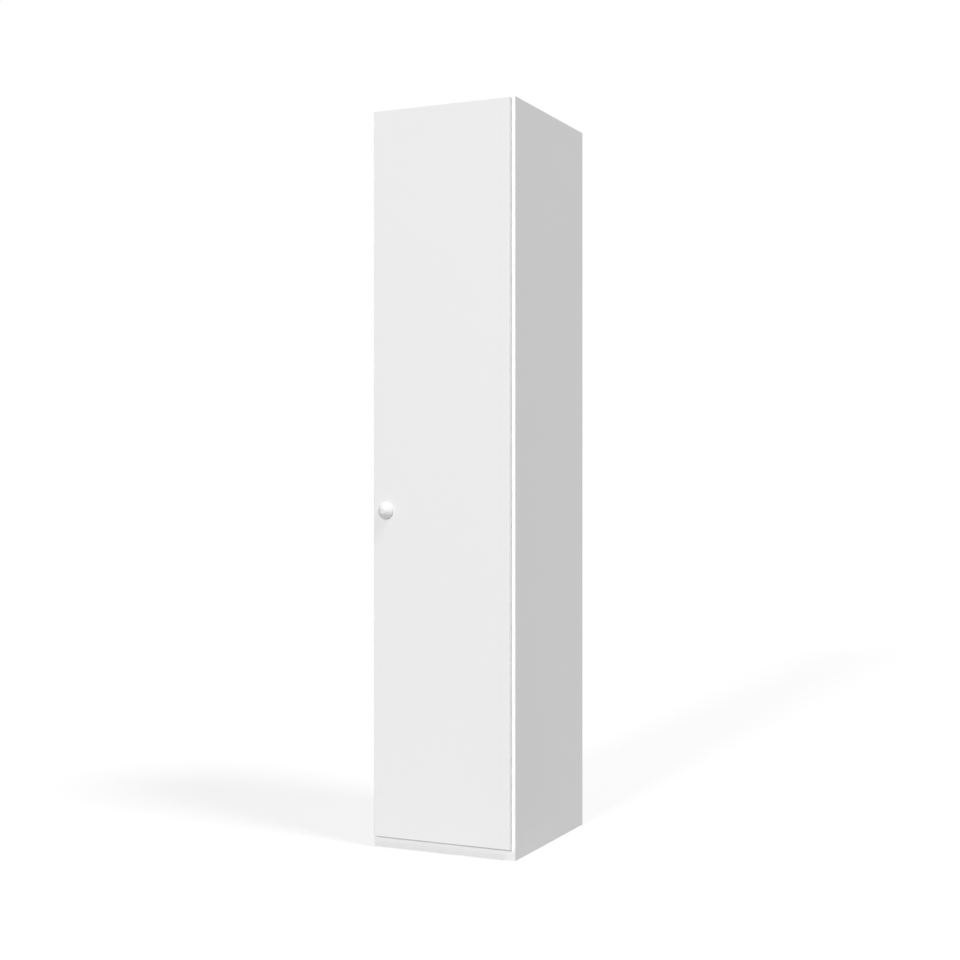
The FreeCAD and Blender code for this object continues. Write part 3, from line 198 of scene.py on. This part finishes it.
def board_finish(node_name, face_white=BOARD_WHITE, band_white=BAND_WHITE_AND_HIGHLIGHT, standing=False):
    """White melamine with a glue line behind the front band and raw chipboard inside the foil."""
    finish_name = node_name + "_melamine"
    material, tree, shader, bump = new_finish(finish_name, bump_depth=0.0003, bump_strength=0.6)
    low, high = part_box(node_name)
    band_rear = low.y + BAND_THICKNESS
    thin_axis = min(range(3), key=lambda axis: high[axis] - low[axis])
    core_low = low - Vector((PAST_THE_EDGE, PAST_THE_EDGE, PAST_THE_EDGE))
    core_high = high + Vector((PAST_THE_EDGE, PAST_THE_EDGE, PAST_THE_EDGE))
    core_low[thin_axis] = low[thin_axis] + FACE_FOIL
    core_high[thin_axis] = high[thin_axis] - FACE_FOIL
    core_low.y = max(core_low.y, band_rear)
    if standing:
        core_high.z = high.z - BAND_THICKNESS
    flake_lay = Vector((1.0, 1.0, 1.0))
    flake_lay[thin_axis] = FLAKE_FLATNESS

    grain = put(tree, "Group", {"Fineness": 900.0, "Drift": 0.012}, node_tree=pearl_grain)
    core = put(tree, "Group", {"Low": core_low, "High": core_high}, node_tree=core_space)
    chips = put(tree, "Group", {"Lay": flake_lay}, node_tree=chip_core)
    raw = core.outputs["Inside"]
    spot = put(tree, "SeparateXYZ", {0: surface_place(tree)})
    depth = spot.outputs["Y"]
    band = work_out(tree, "LESS_THAN", depth, band_rear)
    seam = put(tree, "Math", {0: depth, 1: band_rear, 2: GLUE_LINE}, operation="COMPARE").outputs[0]
    # Painted shade near the floor: the band's white greys towards its foot.
    if standing:
        band_white = spread(tree, spot.outputs["Z"], FOOT_SHADE_WHITE, band_white, FOOT_SHADE_LOW, FOOT_SHADE_HIGH)
    white = blend_values(tree, band, face_white, band_white)
    white = work_out(tree, "MULTIPLY", grain.outputs["Tone"], white)
    white = blend_values(tree, seam, white, GLUE_TONE)
    satin = work_out(tree, "MULTIPLY", grain.outputs["Roughness Share"], BOARD_ROUGHNESS)
    pebble_height = work_out(tree, "MULTIPLY", grain.outputs["Height"], PEBBLE_SHARE)
    feed(
        tree, shader,
        Base_Color=blend_colours(tree, raw, white, chips.outputs["Color"]),
        Roughness=blend_values(tree, raw, satin, RAW_ROUGHNESS),
    )
    feed(tree, bump, Height=blend_values(tree, raw, pebble_height, chips.outputs["Height"]))
    shader.inputs["Specular IOR Level"].default_value = MELAMINE_SPECULAR
    dress(node_name, material)


for side in ("side_panel_left", "side_panel_right"):
    board_finish(side, standing=True)

# Top and bottom panels: the same board, set between the sides on dowels and drawn up by cam locks.
# Their front edges are banded like those of the sides; their rear edges are raw.
board_finish("top_panel")
board_finish("bottom_panel")

# Plinth: a low strip of the same board under the front of the bottom panel, on one dowel at each end.
# Its melamine face, a shade greyer than the edge bands, looks forward; its lower edge is on the floor.
PLINTH_WHITE = 0.84
board_finish("plinth", face_white=PLINTH_WHITE, band_white=PLINTH_WHITE)

# Back panel: one sheet of 3 mm hardboard, painted white inside and left brown and fibrous behind.
# It slides into the grooves of sides and top and is screwed to the rear edge of the bottom panel.
PAINT_WHITE = 0.84
PAINT_ROUGHNESS = 0.55
PAINT_GRAIN_SHARE = 0.4
PAINT_SKIN = 0.0002
HARDBOARD_DARK = (0.235, 0.135, 0.072, 1.0)
HARDBOARD_BROWN = (0.36, 0.22, 0.125, 1.0)
HARDBOARD_BLOTCH = (0.40, 0.26, 0.155, 1.0)
HARDBOARD_FIBRE = (0.52, 0.38, 0.25, 1.0)
HARDBOARD_ROUGHNESS = 0.8
material, tree, shader, bump = new_finish("painted_hardboard", bump_depth=0.0002, bump_strength=0.5)
place = surface_place(tree)
depth = put(tree, "SeparateXYZ", {0: place}).outputs["Y"]
bare = work_out(tree, "GREATER_THAN", depth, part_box("back_panel")[0].y + PAINT_SKIN)
felt = noise(tree, place, scale=90.0, detail=8.0, Roughness=0.7)
fibres = noise(tree, place, scale=700.0, detail=4.0, Distortion=1.5)
blotch = noise(tree, place, scale=3.0, detail=3.0)
pale_fibres = spread(tree, fibres, low=0.0, high=0.35, from_low=0.55, from_high=0.75)
brown = blend_colours(tree, spread(tree, felt, low=0.0, high=1.0), HARDBOARD_DARK, HARDBOARD_BROWN)
brown = blend_colours(tree, spread(tree, blotch, low=0.0, high=0.35), brown, HARDBOARD_BLOTCH)
brown = blend_colours(tree, pale_fibres, brown, HARDBOARD_FIBRE)
grain = put(tree, "Group", {"Fineness": 420.0, "Drift": 0.02}, node_tree=pearl_grain)
paint = work_out(tree, "MULTIPLY", grain.outputs["Tone"], PAINT_WHITE)
paint_roughness = work_out(tree, "MULTIPLY", grain.outputs["Roughness Share"], PAINT_ROUGHNESS)
paint_height = work_out(tree, "MULTIPLY", grain.outputs["Height"], PAINT_GRAIN_SHARE)
feed(
    tree, shader,
    Base_Color=blend_colours(tree, bare, paint, brown),
    Roughness=blend_values(tree, bare, paint_roughness, HARDBOARD_ROUGHNESS),
)
feed(tree, bump, Height=blend_values(tree, bare, paint_height, work_out(tree, "ADD", felt, fibres)))
dress("back_panel", material)

# Back panel screws: small pan head steel screws with a bright zinc finish.
# They hold the hardboard against the bottom panel; the same finish is on every screw of the wardrobe.
ZINC_PLATE = (0.64, 0.66, 0.68, 1.0)
BROAD_SHARE = 0.45
metal_scuff, start, end = new_group(
    "metal_scuff",
    [
        ("Fineness", "Float", 300.0),
        ("Stretch", "Vector", (1.0, 1.0, 1.0)),
        ("Smoothest", "Float", 0.25),
        ("Roughest", "Float", 0.45),
    ],
    [("Roughness", "Float"), ("Bright Share", "Float"), ("Height", "Float")],
)
place = surface_place(metal_scuff)
drawn = work_out_vector(metal_scuff, "MULTIPLY", place, start.outputs["Stretch"])
fine = noise(metal_scuff, drawn, scale=start.outputs["Fineness"], detail=6.0, Roughness=0.65)
broad = noise(metal_scuff, place, scale=70.0, detail=3.0)
scuff = blend_values(metal_scuff, BROAD_SHARE, fine, broad)
feed(
    metal_scuff, end,
    Roughness=spread(metal_scuff, scuff, start.outputs["Smoothest"], start.outputs["Roughest"]),
    Bright_Share=spread(metal_scuff, broad, low=0.0, high=1.0, from_high=0.643),
    Height=fine,
)


def metal_finish(name, colour, dull_tone=0.72, bump_depth=0.00002, **scuff_values):
    """A plated or bare metal: the scuff group, with the values given, breaks up its gloss and tone."""
    material, tree, shader, bump = new_finish(name, bump_depth, bump_strength=0.5)
    scuff_inputs = {label.capitalize(): value for label, value in scuff_values.items()}
    wear = put(tree, "Group", scuff_inputs, node_tree=metal_scuff)
    dull_colour = [dull_tone * part for part in colour[:3]] + [1.0]
    feed(
        tree, shader,
        Base_Color=blend_colours(tree, wear.outputs["Bright Share"], dull_colour, colour),
        Roughness=wear.outputs["Roughness"],
    )
    feed(tree, bump, Height=wear.outputs["Height"])
    shader.inputs["Metallic"].default_value = 1.0
    return material


bright_zinc = metal_finish("bright_zinc", ZINC_PLATE, fineness=420.0, smoothest=0.22, roughest=0.42)
dress("back_panel_screws", bright_zinc)

# Cam locks and bolts: zinc die cast drums in the top and bottom panels, turned half round with a
# screwdriver so that they draw in the heads of steel bolts screwed into the sides.
ZINC_CAST = (0.50, 0.51, 0.52, 1.0)
cast_zinc = metal_finish(
    "cast_zinc", ZINC_CAST, bump_depth=0.00006, fineness=900.0, smoothest=0.42, roughest=0.62
)
dress("cam_locks", cast_zinc)
dress("cam_bolts", bright_zinc)

# Dowels: plain beech pins, 8 mm across, glued into the ends of the boards between the sides.
# They only show while the wardrobe is being put together.
BEECH_DARK = (0.52, 0.33, 0.19, 1.0)
BEECH_PALE = (0.70, 0.50, 0.32, 1.0)
BEECH_PORE = (0.34, 0.19, 0.10, 1.0)
RING_STRETCH = (14.0, 260.0, 260.0)
PORE_STRETCH = (160.0, 1500.0, 1500.0)
material, tree, shader, bump = new_finish("beech_wood", bump_depth=0.0001)
place = surface_place(tree)
ring_place = work_out_vector(tree, "MULTIPLY", place, RING_STRETCH)
rings = noise(tree, ring_place, scale=1.0, detail=4.0, Distortion=0.4)
pore_place = work_out_vector(tree, "MULTIPLY", place, PORE_STRETCH)
pores = noise(tree, pore_place, scale=1.0, detail=2.0)
dark_pores = spread(tree, pores, low=0.0, high=0.5, from_low=0.58, from_high=0.75)
beech = blend_colours(tree, spread(tree, rings, low=0.0, high=1.0), BEECH_DARK, BEECH_PALE)
beech = blend_colours(tree, dark_pores, beech, BEECH_PORE)
feed(tree, shader, Base_Color=beech, Roughness=spread(tree, rings, low=0.55, high=0.72))
feed(tree, bump, Height=pores)
dress("dowels", material)
dress("plinth_dowels", material)

# Hat shelf: a loose board of the same melamine on four nickel plated pins.
# The pins are pushed into the rows of 5 mm holes in the sides.
NICKEL_PLATE = (0.67, 0.64, 0.59, 1.0)
board_finish("hat_shelf")
satin_nickel = metal_finish("satin_nickel", NICKEL_PLATE, fineness=260.0, smoothest=0.24, roughest=0.40)
dress("shelf_pins", satin_nickel)

# Clothes rail: a drawn steel tube, chromed, laid between two nickel plated sockets that are screwed to
# the sides. Hanger hooks have left faint rubbed lines round the tube.
CHROME_PLATE = (0.82, 0.83, 0.84, 1.0)
chromed_tube = metal_finish(
    "chromed_tube", CHROME_PLATE, dull_tone=0.97, bump_depth=0.000001,
    fineness=60.0, stretch=(14.0, 1.0, 1.0), smoothest=0.07, roughest=0.11,
)
dress("clothes_rail", chromed_tube)
dress("rail_sockets", satin_nickel)
dress("rail_socket_screws", bright_zinc)

# Door: an overlay board with smooth satin faces and a brighter plastic band round all four edges, partly a
# whiter plastic and partly a painted highlight for the light its edges catch.
# The band's arrises are rounded. The door hangs on four cup hinges along its right edge, and hands
# have polished it round the knob on the left.
DOOR_WHITE = 0.83
DOOR_ROUGHNESS = 0.44
POLISHED_ROUGHNESS = 0.38
POLISH_NEAR = 0.032
POLISH_FAR = 0.16
POLISH_RAGGED = 0.03
knob_low, knob_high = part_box("door_knob")
knob_middle = (knob_low + knob_high) / 2
material, tree, shader, bump = new_finish("satin_door", bump_depth=0.00002, bump_strength=0.5)
low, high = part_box("door_panel")
rim = Vector((BAND_THICKNESS, -PAST_THE_EDGE, BAND_THICKNESS))
face = put(tree, "Group", {"Low": low + rim, "High": high - rim}, node_tree=core_space).outputs["Inside"]
# The band is painted brighter than the faces: partly a whiter plastic, partly a painted highlight.
white = blend_values(tree, face, BAND_WHITE_AND_HIGHLIGHT, DOOR_WHITE)
place = surface_place(tree)
away = put(tree, "VectorMath", {0: place, 1: knob_middle}, operation="DISTANCE").outputs["Value"]
ragged = noise(tree, place, scale=24.0, detail=4.0)
away = work_out(tree, "ADD", away, spread(tree, ragged, low=-POLISH_RAGGED, high=POLISH_RAGGED))
touched = spread(tree, away, low=1.0, high=0.0, from_low=POLISH_NEAR, from_high=POLISH_FAR)
grain = put(tree, "Group", {"Fineness": 600.0, "Drift": 0.010}, node_tree=pearl_grain)
satin = work_out(tree, "MULTIPLY", grain.outputs["Roughness Share"], DOOR_ROUGHNESS)
feed(
    tree, shader,
    Base_Color=work_out(tree, "MULTIPLY", grain.outputs["Tone"], white),
    Roughness=blend_values(tree, touched, satin, POLISHED_ROUGHNESS),
)
feed(tree, bump, Height=grain.outputs["Height"])
shader.inputs["Specular IOR Level"].default_value = MELAMINE_SPECULAR
dress("door_panel", material)

# Knob: turned from wood as a low cone with a round front, widest on the door, and sprayed satin white.
# One screw from inside the door holds it; the turning rings still show faintly through the lacquer.
KNOB_WHITE = 0.77
RING_SHARE = 0.4
ACROSS_THE_AXIS = (1.0, 0.0, 1.0)
material, tree, shader, bump = new_finish("satin_lacquer", bump_depth=0.00001, bump_strength=0.5)
place = surface_place(tree)
from_middle = work_out_vector(tree, "SUBTRACT", place, knob_middle)
from_axis = work_out_vector(tree, "MULTIPLY", from_middle, ACROSS_THE_AXIS)
radius = put(tree, "VectorMath", {0: from_axis}, operation="LENGTH").outputs["Value"]
depth = put(tree, "SeparateXYZ", {0: place}).outputs["Y"]
turned = put(tree, "CombineXYZ", {"X": radius, "Y": depth}).outputs[0]
rings = noise(tree, turned, scale=900.0, detail=2.0)
spray = noise(tree, place, scale=420.0, detail=2.0)
cloud = noise(tree, place, scale=60.0, detail=3.0)
lacquer = work_out(tree, "MULTIPLY", spread(tree, cloud, low=0.985, high=1.015), KNOB_WHITE)
feed(tree, shader, Base_Color=lacquer, Roughness=spread(tree, spray, low=0.58, high=0.70))
feed(tree, bump, Height=blend_values(tree, RING_SHARE, spray, rings))
dress("door_knob", material)
dress("knob_screw", bright_zinc)

# Door bumpers: small buttons moulded from a clear soft plastic with a slight haze.
# They are stuck inside the door's left edge and keep it off the carcass.
CLEAR_PLASTIC = (0.86, 0.88, 0.88, 1.0)
CLEAR_SHARE = 0.75
CLEAR_IOR = 1.45
material, tree, shader, bump = new_finish("clear_soft_plastic", bump_depth=0.00002)
haze = noise(tree, surface_place(tree), scale=900.0, detail=3.0)
feed(tree, shader, Roughness=spread(tree, haze, low=0.18, high=0.34))
feed(tree, bump, Height=haze)
shader.inputs["Base Color"].default_value = CLEAR_PLASTIC
shader.inputs["Transmission Weight"].default_value = CLEAR_SHARE
shader.inputs["IOR"].default_value = CLEAR_IOR
dress("door_bumpers", material)

# Hinges: pressed and nickel plated cups let into the door, goose neck arms and mounting plates.
# A bright steel pin joins each cup to its arm; plate, arm and cup are held by zinc plated screws.
PIN_STEEL = (0.60, 0.60, 0.60, 1.0)
drawn_steel = metal_finish(
    "drawn_steel", PIN_STEEL, fineness=200.0, stretch=(1.0, 1.0, 0.2), smoothest=0.14, roughest=0.26
)
for piece in ("hinge_cups", "hinge_arms", "hinge_plates"):
    dress(piece, satin_nickel)
dress("hinge_pins", drawn_steel)
for piece in ("hinge_plate_screws", "hinge_arm_screws", "hinge_cup_screws"):
    dress(piece, bright_zinc)

# Catches: two moulded white housings inside the left side, each with a ferrite magnet and two screws.
# A thin zinc plated strike plate on the door meets each magnet.
HOUSING_WHITE = 0.84
HOUSING_ROUGHNESS = 0.4
FERRITE_DARK = (0.035, 0.035, 0.038, 1.0)
FERRITE_PALE = (0.085, 0.083, 0.082, 1.0)
material, tree, shader, bump = new_finish("moulded_white_plastic", bump_depth=0.00003)
grain = put(tree, "Group", {"Fineness": 1500.0, "Drift": 0.03}, node_tree=pearl_grain)
feed(
    tree, shader,
    Base_Color=work_out(tree, "MULTIPLY", grain.outputs["Tone"], HOUSING_WHITE),
    Roughness=work_out(tree, "MULTIPLY", grain.outputs["Roughness Share"], HOUSING_ROUGHNESS),
)
feed(tree, bump, Height=grain.outputs["Height"])
dress("catch_housings", material)

material, tree, shader, bump = new_finish("ferrite", bump_depth=0.00005)
sinter = noise(tree, surface_place(tree), scale=1800.0, detail=4.0)
feed(
    tree, shader,
    Base_Color=blend_colours(tree, spread(tree, sinter, low=0.0, high=1.0), FERRITE_DARK, FERRITE_PALE),
    Roughness=spread(tree, sinter, low=0.5, high=0.75),
)
feed(tree, bump, Height=sinter)
dress("catch_magnets", material)
for piece in ("catch_screws", "strike_plates", "strike_screws"):
    dress(piece, bright_zinc)

# Wall bracket: a bent zinc plated angle under the top panel, with one screw up into it.
# A wall screw goes through its other leg and the back panel, so that the wardrobe can't tip.
dress("wall_bracket", bright_zinc)
dress("wall_bracket_screw", bright_zinc)

# Floor: a plain pale studio floor that runs to the horizon and takes the wardrobe's shadow.
# To the camera and in gloss it is white and mostly glows by itself, which keeps the shadow faint;
# the light that it throws back up is weaker.
FLOOR_REACH = 60.0
FLOOR_WHITE = (1.0, 1.0, 1.0, 1.0)
FLOOR_BOUNCE = (0.35, 0.35, 0.35, 1.0)
FLOOR_GLOW = 0.75


def seen_rays(tree):
    """1 for rays from the camera, in gloss and through clear plastic, 0 for the light on surfaces."""
    path = put(tree, "LightPath")
    seen = work_out(tree, "MAXIMUM", path.outputs["Is Camera Ray"], path.outputs["Is Glossy Ray"])
    return work_out(tree, "MAXIMUM", seen, path.outputs["Is Transmission Ray"])


floor_mesh = bpy.data.meshes.new("studio_floor")
corners = []
for across, along in ((-1, -1), (1, -1), (1, 1), (-1, 1)):
    corners.append((across * FLOOR_REACH, along * FLOOR_REACH, 0.0))
floor_mesh.from_pydata(corners, [], [(0, 1, 2, 3)])
floor = bpy.data.objects.new("studio_floor", floor_mesh)
bpy.context.scene.collection.objects.link(floor)
floor_paper = bpy.data.materials.new("floor_paper")
floor_paper.use_nodes = True
tree = floor_paper.node_tree
tree.nodes.clear()
seen = seen_rays(tree)
matt = put(tree, "BsdfDiffuse", {"Color": blend_colours(tree, seen, FLOOR_BOUNCE, FLOOR_WHITE)})
glow = put(tree, "Emission", {"Color": FLOOR_WHITE, "Strength": 1.0})
paper = put(tree, "MixShader", {
    0: work_out(tree, "MULTIPLY", seen, FLOOR_GLOW),
    1: matt.outputs["BSDF"],
    2: glow.outputs["Emission"],
})
put(tree, "OutputMaterial", {"Surface": paper.outputs["Shader"]})
floor_mesh.materials.append(floor_paper)

# Studio light: a white room, a low light from the front, a steep soft light from above right,
# and a weak fill from behind left for the sides that the front view doesn't show.
ROOM_COLOUR = (1.0, 1.0, 1.0, 1.0)
ROOM_SEEN = 1.0
ROOM_LIGHT = 0.30
world = bpy.data.worlds.new("white_room")
bpy.context.scene.world = world
world.use_nodes = True
tree = world.node_tree
tree.nodes.clear()
strength = put(tree, "MapRange", {"Value": seen_rays(tree), "To Min": ROOM_LIGHT, "To Max": ROOM_SEEN})
room = put(tree, "Background", {"Color": ROOM_COLOUR, "Strength": strength.outputs["Result"]})
put(tree, "OutputWorld", {"Surface": room.outputs["Background"]})


def add_sun(name, towards, share, width):
    """A distant lamp; share is how near to full white it lights a white sheet, width its size in degrees."""
    lamp = bpy.data.lights.new(name, "SUN")
    lamp.energy = share * math.pi
    lamp.angle = math.radians(width)
    sun = bpy.data.objects.new(name, lamp)
    sun.rotation_euler = Vector(towards).to_track_quat("Z", "Y").to_euler()
    bpy.context.scene.collection.objects.link(sun)


add_sun("front_light", towards=(0.0, -0.94, 0.34), share=0.61, width=8.0)
add_sun("top_light", towards=(0.52, -0.12, 0.85), share=0.58, width=14.0)
add_sun("back_fill", towards=(-0.70, 0.70, 0.20), share=0.28, width=20.0)

# Camera: level, at half the wardrobe's height, in front of it and well to its right.
# Its place, turn and lens follow from the photograph's vanishing points.
LENS = 59.087
SENSOR = 36.0
TURN = 0.43397162
EYE_ACROSS = 2.218967
EYE_AWAY = 4.51061
EYE_HEIGHT = 1.190998
camera_data = bpy.data.cameras.new("camera")
camera_data.lens = LENS
camera_data.sensor_width = SENSOR
camera = bpy.data.objects.new("camera", camera_data)
carcass_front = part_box("side_panel_right")[0].y
camera.location = (EYE_ACROSS, carcass_front - EYE_AWAY, EYE_HEIGHT)
camera.rotation_euler = (math.pi / 2, 0.0, TURN)
bpy.context.scene.collection.objects.link(camera)
bpy.context.scene.camera = camera
bpy.context.scene.view_settings.view_transform = "Standard"
